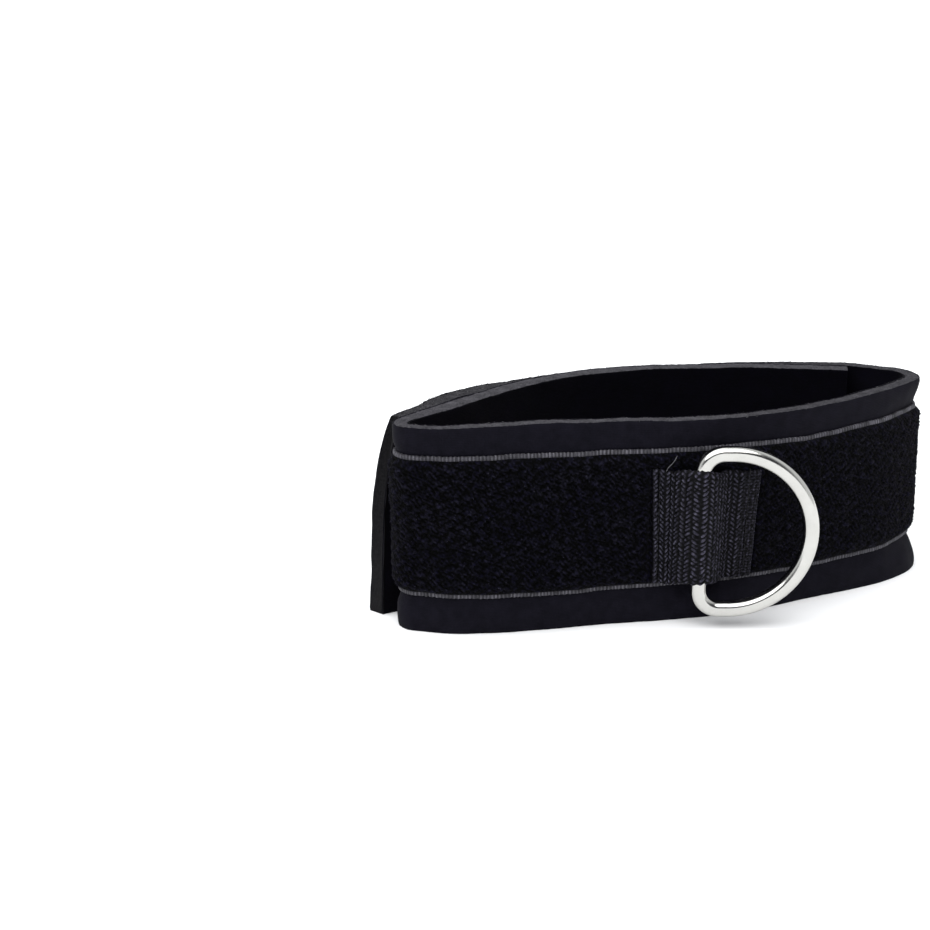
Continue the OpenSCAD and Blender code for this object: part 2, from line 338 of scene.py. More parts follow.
# ---------------------------------------------------------------- materials
def new_material(name, colour, rough, specular=0.5, metallic=0.0, sheen=0.0):
    mat = bpy.data.materials.new(name)
    mat.use_nodes = True
    tree = mat.node_tree
    shader = next(n for n in tree.nodes if n.type == "BSDF_PRINCIPLED")
    shader.inputs["Base Color"].default_value = (*colour, 1)
    shader.inputs["Roughness"].default_value = rough
    shader.inputs["Specular IOR Level"].default_value = specular
    shader.inputs["Metallic"].default_value = metallic
    shader.inputs["Sheen Weight"].default_value = sheen
    shader.inputs["Sheen Roughness"].default_value = 0.4
    return mat, tree, shader


def cloth_uv(tree):
    """The strap's own coordinates, in millimetres."""
    uv = tree.nodes.new("ShaderNodeUVMap")
    uv.uv_map = "cloth"
    return uv.outputs["UV"]


def object_space(tree):
    """The object's coordinates, in millimetres."""
    coords = tree.nodes.new("ShaderNodeTexCoord")
    mapping = tree.nodes.new("ShaderNodeMapping")
    mapping.inputs["Scale"].default_value = (1 / MM, 1 / MM, 1 / MM)
    tree.links.new(coords.outputs["Object"], mapping.inputs["Vector"])
    return mapping.outputs["Vector"]


def noise_node(tree, vector, scale, detail=3.0, rough=0.6):
    n = tree.nodes.new("ShaderNodeTexNoise")
    n.inputs["Scale"].default_value = scale
    n.inputs["Detail"].default_value = detail
    n.inputs["Roughness"].default_value = rough
    tree.links.new(vector, n.inputs["Vector"])
    return n.outputs["Fac"]


def ramp_node(tree, fac, stops):
    ramp = tree.nodes.new("ShaderNodeValToRGB")
    while len(ramp.color_ramp.elements) < len(stops):
        ramp.color_ramp.elements.new(0.5)
    for element, (pos, colour) in zip(ramp.color_ramp.elements, stops):
        element.position = pos
        element.color = (*colour, 1)
    tree.links.new(fac, ramp.inputs["Fac"])
    return ramp.outputs["Color"]


def math_node(tree, operation, *values):
    n = tree.nodes.new("ShaderNodeMath")
    n.operation = operation
    for socket, value in zip(n.inputs, values):
        if isinstance(value, (int, float)):
            socket.default_value = value
        else:
            tree.links.new(value, socket)
    return n.outputs[0]


def set_colour(tree, colour, shader):
    """The colour, times the mesh's own tone: darker in its hollows, as painted shade."""
    tone = tree.nodes.new("ShaderNodeAttribute")
    tone.attribute_name = "tone"
    scale = tree.nodes.new("ShaderNodeVectorMath")
    scale.operation = "SCALE"
    tree.links.new(colour, scale.inputs[0])
    tree.links.new(tone.outputs["Fac"], scale.inputs["Scale"])
    tree.links.new(scale.outputs["Vector"], shader.inputs["Base Color"])


def bump_node(tree, height, strength, distance, shader):
    bump = tree.nodes.new("ShaderNodeBump")
    bump.inputs["Strength"].default_value = strength
    bump.inputs["Distance"].default_value = distance * MM
    tree.links.new(height, bump.inputs["Height"])
    tree.links.new(bump.outputs["Normal"], shader.inputs["Normal"])


def rough_range(tree, fac, low, high, shader):
    span = tree.nodes.new("ShaderNodeMapRange")
    span.inputs["To Min"].default_value = low
    span.inputs["To Max"].default_value = high
    tree.links.new(fac, span.inputs["Value"])
    tree.links.new(span.outputs["Result"], shader.inputs["Roughness"])


def wave_node(tree, vector, scale, direction, distort=0.0):
    n = tree.nodes.new("ShaderNodeTexWave")
    n.bands_direction = direction
    n.inputs["Scale"].default_value = scale
    n.inputs["Distortion"].default_value = distort
    n.inputs["Detail"].default_value = 1.0
    tree.links.new(vector, n.inputs["Vector"])
    return n.outputs["Fac"]


WAVE_CYCLE = 2 * math.pi / 20      # a wave texture's bands are this far apart at scale 1


def knit_material(name, dark, light, rough):
    """A fine jersey knit: rows of small stitches across the strip."""
    mat, tree, shader = new_material(name, dark, rough, specular=0.06, sheen=0.01)
    cloth = cloth_uv(tree)
    wales = wave_node(tree, cloth, WAVE_CYCLE / 0.42, "Y", 1.2)
    courses = wave_node(tree, cloth, WAVE_CYCLE / 0.36, "X", 1.2)
    knit = math_node(tree, "MULTIPLY", wales, courses)
    mottle = noise_node(tree, object_space(tree), 0.35, 4)
    tone = math_node(tree, "MULTIPLY_ADD", knit, 0.35, mottle)
    set_colour(tree, ramp_node(tree, tone, [(0.35, dark), (0.95, light)]), shader)
    bump_node(tree, knit, 0.5, 0.08, shader)
    rough_range(tree, mottle, rough - 0.08, rough + 0.06, shader)
    return mat


def foam_material():
    """The foam's cut face: closed cells, slightly torn, grey."""
    dark, light = (0.017, 0.0165, 0.020), (0.062, 0.060, 0.068)
    mat, tree, shader = new_material("foam_cut", light, 0.95, specular=0.1)
    space = object_space(tree)
    cells = tree.nodes.new("ShaderNodeTexVoronoi")
    cells.inputs["Scale"].default_value = 2.6
    tree.links.new(space, cells.inputs["Vector"])
    coarse = noise_node(tree, space, 0.9, 6, 0.7)
    tone = math_node(tree, "MULTIPLY_ADD", cells.outputs["Distance"], 0.5, coarse)
    set_colour(tree, ramp_node(tree, tone, [(0.42, dark), (0.95, light)]), shader)
    bump_node(tree, tone, 0.8, 0.25, shader)
    rough_range(tree, coarse, 0.85, 1.0, shader)
    return mat


def ribbed_material():
    """The tape's selvage: fine ribs across it, grey where the light catches them."""
    dark, light = (0.026, 0.025, 0.031), (0.085, 0.082, 0.095)
    mat, tree, shader = new_material("tape_ribs", dark, 0.7, specular=0.25)
    cloth = cloth_uv(tree)
    ribs = wave_node(tree, cloth, WAVE_CYCLE / 0.95, "X", 0.6)
    grain = noise_node(tree, cloth, 0.8, 4)
    tone = math_node(tree, "MULTIPLY", ribs, grain)
    set_colour(tree, ramp_node(tree, tone, [(0.08, dark), (0.6, light)]), shader)
    bump_node(tree, ribs, 0.6, 0.15, shader)
    rough_range(tree, grain, 0.6, 0.85, shader)
    return mat


def pile_material(name, dark, light):
    """Brushed nylon loops: black between them, as painted shade, with paler fibres here and there."""
    mat, tree, shader = new_material(name, dark, 0.8, specular=0.05, sheen=0.01)
    space = object_space(tree)
    specks = noise_node(tree, space, 1.6, 5, 0.75)
    patches = noise_node(tree, space, 0.12, 2)
    tone = math_node(tree, "MULTIPLY_ADD", patches, 0.3, specks)
    set_colour(tree, ramp_node(tree, tone, [(0.58, dark), (0.86, light)]), shader)
    bump_node(tree, specks, 1.0, 0.5, shader)
    rough_range(tree, specks, 0.7, 0.95, shader)
    return mat


def webbing_material():
    """Spun fibres. The weave itself is in the keeper's mesh and tone; the tone paints shade in the
    weave's pits and light on its floats.
    """
    dark, light = (0.008, 0.0075, 0.0125), (0.050, 0.048, 0.066)
    mat, tree, shader = new_material("webbing", dark, 0.55, specular=0.08)
    space = object_space(tree)
    fibre = noise_node(tree, space, 2.2, 4, 0.7)
    set_colour(tree, ramp_node(tree, fibre, [(0.4, dark), (0.8, light)]), shader)
    bump_node(tree, fibre, 0.5, 0.12, shader)
    rough_range(tree, fibre, 0.45, 0.75, shader)
    return mat


def thread_material(name, colour, light):
    """Twisted thread: paler where the twist catches the light."""
    mat, tree, shader = new_material(name, colour, 0.6, specular=0.2)
    space = object_space(tree)
    twist = noise_node(tree, space, 3.5, 2)
    set_colour(tree, ramp_node(tree, twist, [(0.35, colour), (0.75, light)]), shader)
    bump_node(tree, twist, 0.5, 0.06, shader)
    return mat


def nickel_material():
    """Polished nickel plate with faint handling marks."""
    mat, tree, shader = new_material("nickel", (0.62, 0.60, 0.56), 0.14, metallic=1.0)
    space = object_space(tree)
    haze = noise_node(tree, space, 0.25, 5, 0.7)
    stretch = tree.nodes.new("ShaderNodeMapping")
    stretch.inputs["Scale"].default_value = (3.0, 0.4, 0.5)
    tree.links.new(space, stretch.inputs["Vector"])
    streaks = noise_node(tree, stretch.outputs["Vector"], 1.0, 4.0, 0.5)
    tarnish = [(0.3, (0.49, 0.485, 0.46)), (0.7, (0.54, 0.535, 0.51))]
    set_colour(tree, ramp_node(tree, haze, tarnish), shader)
    rough_range(tree, streaks, 0.09, 0.24, shader)
    bump_node(tree, streaks, 0.12, 0.05, shader)
    return mat


def hook_material():
    """Black nylon, a little uneven in its gloss."""
    dark, light = (0.003, 0.003, 0.0045), (0.011, 0.011, 0.014)
    mat, tree, shader = new_material("hooks", dark, 0.6, specular=0.06)
    space = object_space(tree)
    tint = noise_node(tree, space, 0.6, 3)
    set_colour(tree, ramp_node(tree, tint, [(0.3, dark), (0.8, light)]), shader)
    rough_range(tree, tint, 0.5, 0.8, shader)
    return mat


def label_material():
    """A fine satin weave."""
    dark, light = (0.002, 0.0019, 0.003), (0.006, 0.0058, 0.0085)
    mat, tree, shader = new_material("label_satin", dark, 0.7, specular=0.04)
    cloth = cloth_uv(tree)
    warp = wave_node(tree, cloth, WAVE_CYCLE / 0.3, "X", 0.5)
    weft = wave_node(tree, cloth, WAVE_CYCLE / 0.55, "Y", 0.5)
    weave = math_node(tree, "MULTIPLY", warp, weft)
    set_colour(tree, ramp_node(tree, weave, [(0.1, dark), (0.9, light)]), shader)
    bump_node(tree, weave, 0.25, 0.04, shader)
    rough_range(tree, weave, 0.65, 0.85, shader)
    return mat


KNIT = knit_material("knit_facing", (0.0026, 0.0024, 0.0048), (0.0070, 0.0064, 0.0110), 0.85)
LINING = knit_material("knit_lining", (0.0003, 0.0002, 0.0012), (0.0013, 0.0009, 0.0034), 0.92)
FOAM = foam_material()
RIBS = ribbed_material()
PILE = pile_material("pile_base", (0.0012, 0.0010, 0.0050), (0.0100, 0.0096, 0.0150))
FIBRE = pile_material("pile_fibre", (0.0038, 0.0034, 0.0078), (0.034, 0.033, 0.043))
WEBBING = webbing_material()
THREAD = thread_material("thread_black", (0.004, 0.004, 0.005), (0.014, 0.014, 0.017))
GREY_THREAD = thread_material("thread_grey", (0.12, 0.12, 0.13), (0.4, 0.4, 0.42))
LINT = thread_material("lint_grey", (0.05, 0.05, 0.055), (0.16, 0.16, 0.17))
NICKEL = nickel_material()
HOOKS = hook_material()
LABEL = label_material()
MOTIF = thread_material("motif_white", (0.45, 0.45, 0.47), (0.7, 0.7, 0.72))


# ---------------------------------------------------------------- the strap
def near_row(z, row, width):
    return np.exp(-((z - row) / width)**2)


SEAM_ROWS = (TAPE_LOW + STITCH_INSET, TAPE_LOW + TAPE_W - STITCH_INSET)


def seam_dips(s, z):
    """How far the hook patch's seam pulls the tail's face in: deepest at the middle of a stitch."""
    first, final = HOOK_SEAM_S
    inside = ease((s - first + 1) / 2) * ease((final + 1 - s) / 2)
    beat = 0.5 + 0.5 * np.cos(2 * math.pi * ((s - first) / STITCH_PITCH - 0.5))
    dips = sum(near_row(z, row, 0.75) for row in SEAM_ROWS) * inside * (0.35 + 0.65 * beat)
    spread = sum(near_row(z, row, 2.4) for row in SEAM_ROWS) * inside
    tall = ease((z - SEAM_ROWS[0] + 1) / 2) * ease((SEAM_ROWS[1] + 1 - z) / 2)
    for column in (first, final):
        dips = np.maximum(dips, near_row(s, column, 0.75) * tall * (
            0.35 + 0.65 * (0.5 + 0.5 * np.cos(2 * math.pi * (z - SEAM_ROWS[0]) / STITCH_PITCH))))
    return 0.42 * dips + 0.16 * spread


def body_surface(s, z):
    """Small swells of the facing: pinched beside the tape, puffed along the free margins."""
    covered = ease((TAPE_END + 1.5 - s) / 2)
    edges = near_row(z, TAPE_LOW, 1.5) + near_row(z, TAPE_LOW + TAPE_W, 1.5)
    puff = near_row(z, TAPE_LOW / 2, 3.0) + near_row(z, (TAPE_LOW + TAPE_W + STRAP_W) / 2, 2.6)
    plane = np.stack([s, z * 1.6], -1)
    ripple = 0.14 * waves(plane, 26, 3) + 0.04 * waves(plane, 8, 4)
    return (0.3 * puff - 0.25 * edges) * covered + ripple * (1 - 0.6 * covered * (
        (z > TAPE_LOW) & (z < TAPE_LOW + TAPE_W)))


def margin(s, z):
    """How far the free upper margins of tail and inner layer lean together over the gap."""
    high = ease((z - TAPE_LOW - TAPE_W + 0.5) / 6)
    inner = ease((158 - s) / 20) * 1.7
    tail = ease((s - HINGE_S - 8) / 14) * (1.5 - 1.9 * ease((s - STRAP_L + 26) / 22))
    return high * (inner - tail)


def rim_shift(s, d, z):
    """The cut edges: a slight wander and a fine tear along both rims."""
    run = np.stack([s, d * 3], -1)
    top, foot = ease((z - 50) / 5), ease((4 - z) / 4)
    wander = 0.06 * waves(s[..., None], 34, 5) + 0.03 * waves(s[..., None], 9, 6)
    tear = 0.03 * waves(run, 1.7, 7) + 0.025 * waves(run, 0.8, 8)
    return z + top * (0.2 + wander + tear) + foot * np.abs(wander * 0.6 + tear)


def facing_shift(s, d, z):
    swell = body_surface(s, z)
    tail = s > HINGE_S - 12
    swell = swell - np.where(tail, seam_dips(s, z), 0) + np.maximum(margin(s, z), 0)
    soft = ease((z - 54.2) / 0.8) + ease((0.8 - z) / 0.8)
    return d + np.where(d > -FACING_T / 2, swell - 0.12 * soft, swell * 0.9), rim_shift(s, d, z)


def slant_cut(s, d):
    """The tip is cut a little on the slant, so its inner layers stop short of the outer one."""
    return s + 0.36 * d * ease((s - STRAP_L + 12) / 12)


def foam_shift(s, d, z):
    run = np.stack([s, d * 3, z], -1)
    rim = ease((z - 54) / 0.7) + ease((1 - z) / 0.7)
    inner = np.clip((-d - FACING_T) / FOAM_T, 0, 1)
    tail = s > HINGE_S - 12
    swell = (body_surface(s, z) - np.where(tail, seam_dips(s, z), 0)) * 0.9 * (1 - inner)
    crown = 0.16 * (1 - (2 * inner - 1)**2) * rim
    lean = margin(s, z)
    swell = swell + np.where(lean > 0, lean * (1 - inner), lean * inner)
    z = rim_shift(s, d, z) - 0.08 * rim + crown * np.sign(z - STRAP_W / 2)
    return d + swell + 0.05 * rim * waves(run, 1.1, 9), z + 0.04 * rim * waves(run, 0.7, 19)


def foam_tone(s, d, z):
    """Darker further along the strap, in two steps, with random patches; much darker on the tail's cut
    end, which is painted shade.
    """
    # Painted shade on the tail's cut end face.
    painted_end_shade = ease((s - STRAP_L + 1.5) / 1.2)
    patches = 0.92 - 0.14 * ease((s - 230) / 40) - 0.22 * ease((s - 340) / 20)
    patches = patches + 0.08 * waves(np.stack([s, d * 2], -1), 6, 17)
    return patches * (1 - 0.72 * painted_end_shade)


def lining_shift(s, d, z):
    plane = np.stack([s, z], -1)
    return d + 0.1 * waves(plane, 14, 10) * (d < -STRAP_T + 0.2) + np.minimum(
        margin(s, z), 0), rim_shift(s, d, z)


SPLIT = HINGE_S - 2
BODY_RUN, TAIL_RUN = (0.0, SPLIT), (SPLIT, STRAP_L)


def stand_in(piece, nodes, body="cuff_body"):
    """The piece shows in place of CAD nodes; a piece given the body 'bend' only has its transform
    baked and stays where it is.
    """
    if body == "bend":
        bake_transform(piece)
    else:
        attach(piece, body)
    if nodes:
        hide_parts(*nodes)
    return piece


def strap_pieces():
    """Facing, foam and lining, first round the loop and then along the tail."""
    for part, (s0, s1), body in (("body", BODY_RUN, "cuff_body"), ("tail", TAIL_RUN, "bend")):
        run = steps(s0, s1, 0.7)
        facing = sweep(f"{part}_knit", run,
                       box_profile(-FACING_T, 0, 0, STRAP_W, 0.8, 0.25, 0.2), KNIT, facing_shift)
        stand_in(facing, [f"{part}_facing"], body)
        foam = sweep(f"{part}_foam_strip", steps(s0, s1, 0.5),
                     box_profile(-FACING_T - FOAM_T, -FACING_T, 0.05, STRAP_W - 0.05, 2.0, 0.25,
                                 0.12), FOAM, foam_shift, foam_tone)
        stand_in(foam, [f"{part}_foam"], body)
        lining = sweep(f"{part}_lining_knit", run,
                       box_profile(-STRAP_T, -FACING_T - FOAM_T, 0, STRAP_W, 1.4, 0.25, 0.2),
                       LINING, lining_shift)
        stand_in(lining, [f"{part}_lining"], body)


# ---------------------------------------------------------------- loop tape and pile
def tape_wander(s):
    """The tape was sewn on a little out of line."""
    return 0.15 * waves(s[..., None], 60, 12) + 0.05 * waves(s[..., None], 17, 18)


def tape_edge(z):
    """How far z is from the nearer edge of the tape."""
    return np.minimum(z - TAPE_LOW, TAPE_LOW + TAPE_W - z)


RIB_PITCH = 0.6                     # the selvage's ribs


def tape_piece():
    def ribs(s, d, z):
        edge = tape_edge(z)
        rib = 0.02 * np.cos(2 * math.pi * s / RIB_PITCH) * (edge < SELVAGE_W + 0.4)
        bead = 0.16 * near_row(edge, 0.6, 0.6)
        return (d + body_surface(s, z) + np.where(d > TAPE_T / 2, rib + bead, 0),
                z + tape_wander(s) + 0.05 * waves(s[..., None], 1.3, 22) * (edge < 0.4))

    # Painted highlight in the tone: paler on the rib crests and on the raised bead along each edge.
    def tone(s, d, z):
        edge = tape_edge(z)
        worn = 1.0 + 0.25 * waves(np.stack([s, z], -1), 5, 23) + 0.15 * ease((s - 190) / 60)
        rib = (0.95 + 0.1 * np.cos(2 * math.pi * s / RIB_PITCH)
               + 0.2 * waves(s[..., None], 1.0, 26) + 0.12 * waves(np.stack([s, z], -1), 0.5, 27))
        return worn * rib * (0.5 + 0.5 * near_row(edge, 0.5, 0.7)) * (1 - 0.5 * ease(
            (edge - 1.4) / 1.2))
    tape = sweep("loop_tape_weave", steps(0.5, TAPE_END, 0.2),
                 box_profile(0.02, TAPE_T, TAPE_LOW, TAPE_LOW + TAPE_W, 0.5, 0.4, 0.15), RIBS,
                 ribs, tone)
    stand_in(tape, ["loop_tape"])


PILE_LOW, PILE_HIGH = TAPE_LOW + 1.1, TAPE_LOW + TAPE_W - 1.1
PILE_FIBRES = 60000
BAR_PRESS = 4.2                     # the bar presses the pile flat this far to each side


def pile_clumps(s, z):
    """How high the brushed loops stand in their clumps, from -1 to 1 for the most part."""
    plane = np.stack([s, z], -1)
    return (0.25 * waves(plane, 3.2, 13) + 0.35 * waves(plane, 1.5, 14)
            + 0.4 * waves(plane, 0.9, 15, 32))


def pile_height(s, z):
    """Height of the brushed loops above the woven base, pressed down under keeper, bar and tail."""
    edge = np.minimum(z - PILE_LOW, PILE_HIGH - z)
    edge = np.minimum(edge, np.minimum(s - 1, TAPE_END - 0.8 - s))
    crown = np.sqrt(np.clip(edge / 1.9, 0, 1))
    height = (PILE_T - 0.1 + 0.3 * pile_clumps(s, z)) * crown
    covered = ease((118 - s) / 14)
    height = np.minimum(height, PILE_T + 0.5 - 0.75 * covered)
    over = np.minimum(np.minimum(s - KEEPER_S0, KEEPER_S1 - s),
                      np.minimum(z - KEEPER_LOW, KEEPER_LOW + KEEPER_W - z))
    over = np.maximum(over, BAR_PRESS - np.abs(s - BAR_S))
    return np.maximum(0.02, height - np.maximum(height - 0.4, 0) * ease((over + 0.8) / 0.8))


def pile_pieces():
    """The brushed surface, and its fibres as part of it."""
    def brushed(s, d, z):
        top = d > TAPE_T + 0.1
        raised = np.where(top, pile_height(s, z) - PILE_T, 0)
        return d + body_surface(s, z) + raised, z + tape_wander(s)

    # Painted shade in the tone: darker where the clumps sit low, paler where they stand high.
    def tone(s, d, z):
        return np.clip(0.25 + 1.3 * pile_clumps(s, z), 0.02, 3.5)
    base = sweep("loop_pile_base", steps(0.7, TAPE_END - 0.6, 0.28),
                 box_profile(TAPE_T - 0.15, TAPE_T + PILE_T, PILE_LOW, PILE_HIGH, 0.28, 1.5, 0.05),
                 PILE, brushed, tone)
    stand_in(base, ["loop_pile"])
    fibres = pile_fibres()
    fibres.parent = base


def pile_fibres():
    """Loose fibres that curl up out of the clumps, none under the keeper or beside the bar."""
    s = rng.uniform(1.2, TAPE_END - 1.2, PILE_FIBRES)
    z = rng.uniform(PILE_LOW + 0.1, PILE_HIGH - 0.1, PILE_FIBRES)
    clear = ((s < KEEPER_S0 - 0.5) | (s > KEEPER_S1 + 0.5) | (z < KEEPER_LOW - 0.4) | (
        z > KEEPER_LOW + KEEPER_W + 0.4)) & (np.abs(s - BAR_S) > BAR_PRESS - 0.6)
    s, z = s[clear], z[clear]
    height = TAPE_T + body_surface(s, z) + pile_height(s, z)
    open_air = 1 - ease((122 - s) / 14)
    reach = rng.uniform(0.15, 0.5, len(s))
    turn = rng.uniform(0, 2 * math.pi, len(s))
    lift = rng.uniform(0.02, 0.55, len(s)) * open_air
    roots = place(s, height - 0.15, z + tape_wander(s))
    tips = place(s + reach * np.cos(turn), height - 0.1,
                 np.clip(z + reach * np.sin(turn), PILE_LOW - 0.5, PILE_HIGH + 0.5)
                 + tape_wander(s))
    n = np.concatenate([on_line(s, NORMAL), np.zeros((len(s), 1))], -1)
    # Painted highlight: a few fibres much paler, as if catching the light; fibres over low clumps
    # darker, as painted shade.
    shine = (0.08 + 2.8 * rng.random(len(s))**6) * np.clip(0.7 + 0.8 * pile_clumps(s, z), 0.1, 2)
    return strands("loop_pile_fibres", roots, tips, n * lift[:, None], 0.075, FIBRE, shine)


# ---------------------------------------------------------------- stitching
def stitch(s0, s1, z0, z1, d, radius=0.2, sag=0.12):
    """One stitch from one needle hole to the next, bowed a little out of the cloth."""
    t = np.linspace(0, 1, 7)
    hump = np.sin(math.pi * t)
    s, z = s0 + (s1 - s0) * t, z0 + (z1 - z0) * t
    return tube(place(s, d - sag * 2.2 + (sag * 2.2 + radius * 0.6) * hump**0.5, z), radius)


def stitch_line(s0, s1, z0, z1, pitch, surface, radius=0.2):
    length = math.hypot(s1 - s0, z1 - z0)
    count = max(1, round(length / pitch))
    out = []
    for k in range(count):
        a, b = (k + 0.12) / count, (k + 0.88) / count
        sa, sb = s0 + (s1 - s0) * a, s0 + (s1 - s0) * b
        za, zb = z0 + (z1 - z0) * a, z0 + (z1 - z0) * b
        off = rng.normal(0, 0.05, 2)
        d = float(surface(np.array((sa + sb) / 2), np.array((za + zb) / 2)))
        out.append(stitch(sa, sb, za + off[0], zb + off[1], d, radius))
    return out


def stitch_frame(s_ends, z_ends, pitch, surface, radius):
    """Stitches round a rectangle: its two long sides, then its two ends."""
    parts = []
    for z in z_ends:
        parts += stitch_line(*s_ends, z, z, pitch, surface, radius)
    for s in s_ends:
        parts += stitch_line(s, s, *z_ends, pitch, surface, radius)
    return parts


def tape_seams():
    parts = []
    for z in (TAPE_LOW + 1.3, TAPE_LOW + TAPE_W - 1.3):
        parts += stitch_line(1, TAPE_END - 1, z, z, 2.6,
                             lambda s, z: TAPE_T + body_surface(s, z) - 0.02, 0.1)
    piece = mesh_object("tape_seam_thread", *joined(parts), THREAD)
    stand_in(piece, ["tape_stitching"])


def hook_seam():
    def surface(s, z):
        return body_surface(s, z) - seam_dips(s, z) + 0.05
    parts = stitch_frame(HOOK_SEAM_S, SEAM_ROWS, STITCH_PITCH / 2, surface, 0.17)
    piece = mesh_object("hook_seam_thread", *joined(parts), THREAD)
    stand_in(piece, ["hook_stitching"], "bend")


# ---------------------------------------------------------------- keeper
TUNNEL_R = STOCK / 2 * math.sqrt(2) - STOCK_EDGE_R * (math.sqrt(2) - 1) + 0.3
LIFT, LIFT_SHORT, LIFT_LONG = 2 * TUNNEL_R + 0.05, 7.0, 9.5


def keeper_rise(s):
    """How far the bar lifts the webbing off the tape."""
    x = s - BAR_S
    reach = np.where(x < 0, LIFT_SHORT, LIFT_LONG)
    return np.where(np.abs(x) >= reach, 0, LIFT * (1 + np.cos(math.pi * x / reach)) / 2)


COLUMN, RIB = 1.7, 1.2              # pitch of the weave's columns and rows
FLOAT_L, FLOAT_B, FLOAT_SLANT = 0.9, 0.36, math.radians(45)    # half length, half width, slant
KEEPER_GRID = (281, 231)            # points along and across the webbing


def weave_height(u, v):
    """Herringbone webbing, from 0 in the pits to 1 on the threads: slanted floats in columns."""
    column = np.floor(u / COLUMN)
    x = u - (column + 0.5) * COLUMN
    slant = np.where(column % 2 == 0, 1, -1) * FLOAT_SLANT
    y = v + 0.5 * RIB * (column % 2) + 0.1 * waves(np.stack([u, v], -1), 6, 24)
    out = np.zeros_like(u)
    for k in (-1, 0, 1):
        dy = y - (np.floor(y / RIB) + 0.5 + k) * RIB
        a = x * np.cos(slant) + dy * np.sin(slant)
        b = dy * np.cos(slant) - x * np.sin(slant)
        out = np.maximum(out, 1 - (a / FLOAT_L)**4 - (b / FLOAT_B)**2)
    return np.sqrt(np.clip(out, 0, 1)) * np.clip(0.8 - 0.55 * x / COLUMN, 0, 1)


def keeper_piece():
    """The webbing over the bar: u and v run along and across it, s and z where it lies."""
    s = np.linspace(KEEPER_S0, KEEPER_S1, KEEPER_GRID[0])
    rise = keeper_rise(s)
    mid = CRUSHED + rise
    line = on_line(s, FACE) + mid[:, None] * on_line(s, NORMAL)
    u = np.concatenate([[0], np.cumsum(np.linalg.norm(np.diff(line, axis=0), axis=1))])
    slope = np.gradient(mid, s)
    lean = np.stack([-slope, np.ones_like(slope)], -1) / np.sqrt(1 + slope**2)[:, None]
    v = np.linspace(0, KEEPER_W, KEEPER_GRID[1])
    uu, vv = np.meshgrid(u, v, indexing="ij")
    ss, zz = np.meshgrid(s, v + KEEPER_LOW, indexing="ij")
    edge = np.minimum(vv, KEEPER_W - vv)
    round_off = np.sqrt(np.clip(edge / 0.8, 0, 1))
    end = np.sqrt(np.clip(np.minimum(uu, u[-1] - uu) / 0.5, 0, 1))
    seam = sum(near_row(ss, x, 0.5) for x in KEEPER_SEAM_S)
    flat_end = ease((ss - KEEPER_S1 + 6) / 2)
    weave = weave_height(uu, vv)
    fine = 0.5 + 0.25 * np.cos(2 * math.pi * uu / 0.9) + 0.25 * np.cos(2 * math.pi * vv / 0.8)
    weave = weave * (1 - 0.7 * flat_end) + 0.7 * flat_end * fine
    crease = np.exp(-((vv - 1.2 - 0.75 * uu) / 0.45)**2) * ease((6.5 - uu) / 1.5)
    high = KEEPER_T - 0.4 + 0.5 * weave - 0.3 * seam - 0.35 * crease
    wander = 0.2 * waves(uu[..., None], 15, 21) * ease((2 - edge) / 2)
    frill = 0.14 * np.cos(2 * math.pi * uu / COLUMN) * ease((1.2 - edge) / 1.2)
    pulled = 0.3 * ease((5 - uu) / 5) * ease((6 - vv) / 6)
    skew = 1.2 * (1 - vv / KEEPER_W) * ease((BAR_S - 4 - ss) / 8)
    tilt = ease((ss - BAR_S - 5) / 12) * (vv / KEEPER_W - 0.35)
    zz = zz + wander + frill - pulled * 0.5 - 1.1 * uu / u[-1]
    arch = keeper_rise(ss) / LIFT
    drop = np.where(ss < BAR_S, 1.5, 1.2 - 0.5 * ease((ss - BAR_S - 5) / 10))
    zz = zz - (1 - vv / KEEPER_W) * (1 - arch) * drop
    zz = zz + vv / KEEPER_W * (0.9 * arch - 0.9 * ease((ss - BAR_S) / 14))
    taut = arch * -lean_out(ss, zz) * 0.6
    base = mid[:, None] + body_surface(ss, zz) + taut

    def layer(h):
        return place(ss + h * lean[:, :1] - pulled + tilt + skew, base + h * lean[:, 1:], zz)
    top = layer(0.12 + (high - 0.12) * np.minimum(round_off, end))
    under = layer(0.02)
    verts = np.concatenate([top.reshape(-1, 3), under.reshape(-1, 3)])
    uv = np.tile(np.stack([uu, vv], -1).reshape(-1, 2), (2, 1))
    # Painted shade and light in the tone: dark in the weave's pits and along the crease, pale on the
    # floats and paler still on the crest over the bar; a little darker where the end lies flat, with
    # paler lines along both ends.
    crest = near_row(ss, BAR_S + 0.4, 0.9)
    tone = (0.07 + 2.8 * weave**2.2) * (1 + 0.5 * crest) * (1 - 0.6 * crease)
    tone = tone * (0.85 + 0.5 * waves(np.stack([uu, vv], -1), 1.5, 25)) * (1 - 0.25 * flat_end)
    tone = tone + 0.5 * near_row(uu, u[-1] - 0.4, 0.25) + 0.3 * near_row(uu, 0.5, 0.3)
    tone = np.tile(np.clip(tone, 0.03, 2.6).ravel(), 2)
    web = mesh_object("keeper_webbing", verts, two_sided(*uu.shape), WEBBING, uv, tone)
    stand_in(web, ["ring_keeper"])


def keeper_seams():
    def surface(s, z):
        return CRUSHED + KEEPER_T + body_surface(s, z) - 0.25
    parts = []
    for s in KEEPER_SEAM_S:
        parts += stitch_line(s, s, KEEPER_LOW + 1, KEEPER_LOW + KEEPER_W - 1, 2.3, surface, 0.15)
    loose = place(np.array([3.4, 3.8, 4.6, 5.4, 6.0]) + KEEPER_S0,
                  np.array([2.5, 2.9, 3.3, 3.0, 2.7]),
                  KEEPER_LOW + KEEPER_W + np.array([-0.3, 0.8, 1.9, 2.8, 3.9]))
    piece = mesh_object("keeper_seam_thread", *joined(parts), THREAD)
    stand_in(piece, ["keeper_stitching"])
    end = mesh_object("keeper_loose_thread", *tube(smooth_line(list(loose), 4), 0.09), LINT)
    end.parent = piece


